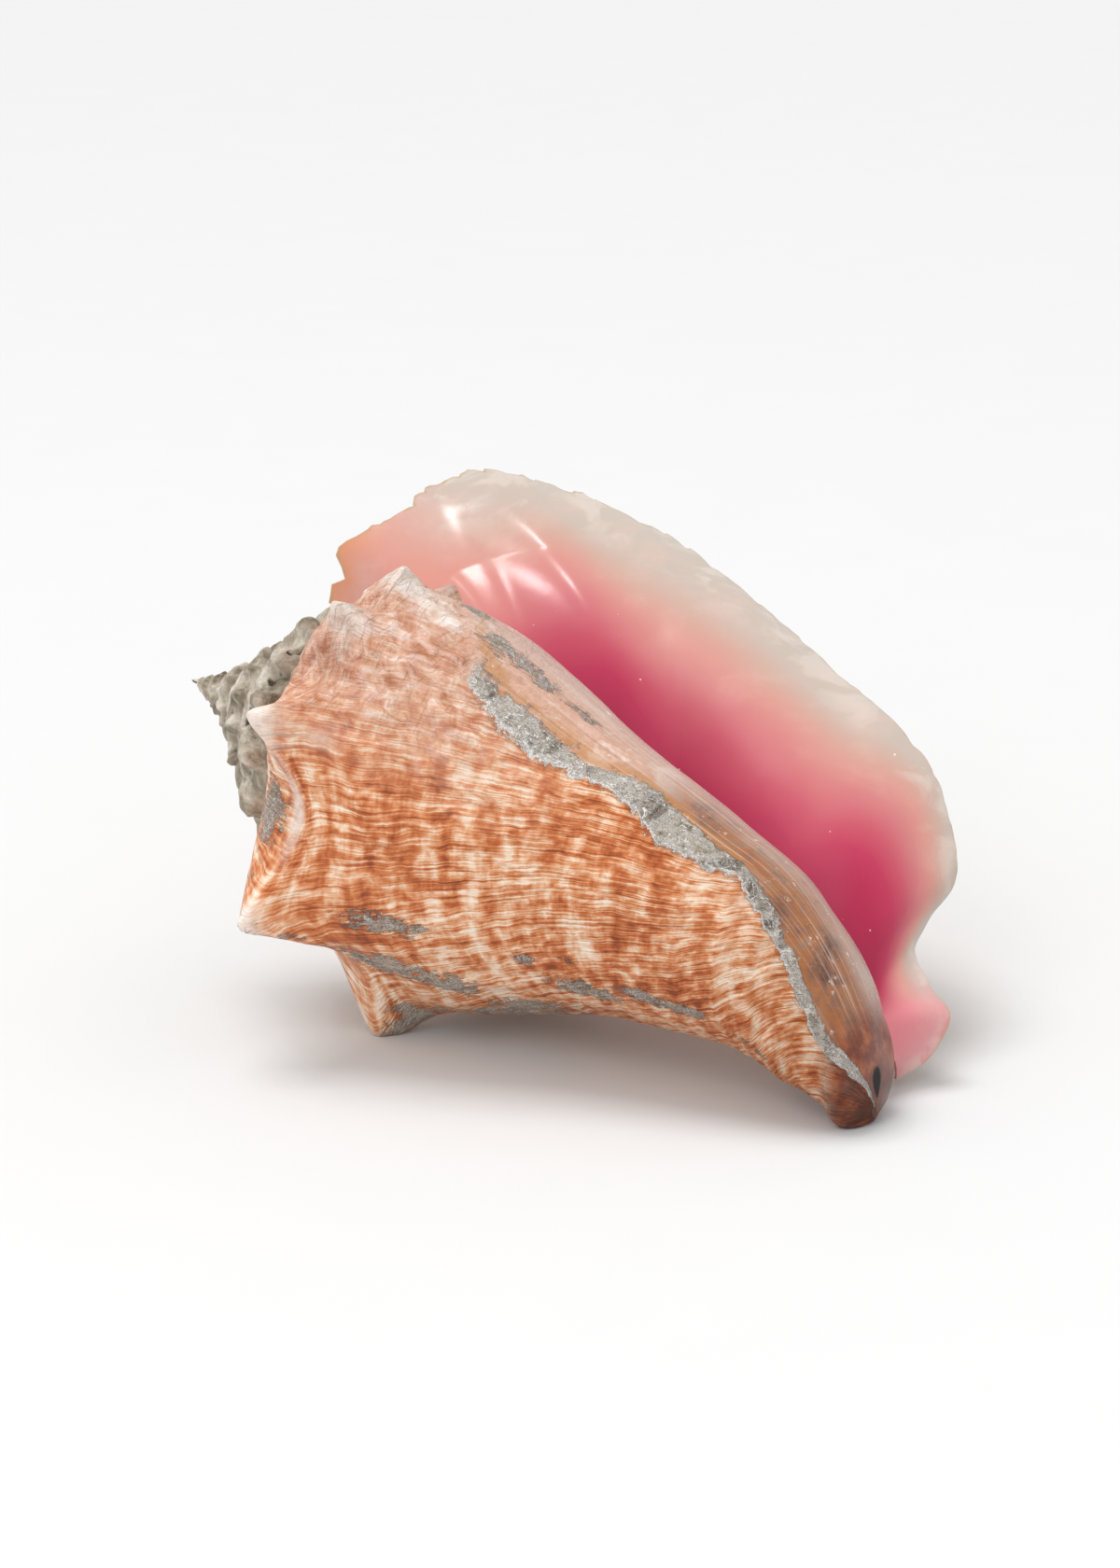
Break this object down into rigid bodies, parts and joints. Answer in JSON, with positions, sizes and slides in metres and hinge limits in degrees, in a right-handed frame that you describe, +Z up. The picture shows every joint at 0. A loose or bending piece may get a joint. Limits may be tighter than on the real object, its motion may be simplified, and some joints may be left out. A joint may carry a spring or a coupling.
{
  "type": "conch shell",
  "caption": "Large spiral sea shell with a knobbed pointed spire, blunt shoulder spines, a curved canal and a wide flared lip around a pink aperture",
  "frame": {"origin": "centre of the bounding box in plan, at the surface the shell lies on", "axes": "+Z up, shell lying on its back as in the picture, -Y the side seen in the picture, apex towards -X"},
  "size_m": [0.1744, 0.1954, 0.1045],
  "materials": {
    "shell": "semi-gloss"
  },
  "bodies": {
    "root": {"conch_shell": "shell"}
  },
  "joints": []
}
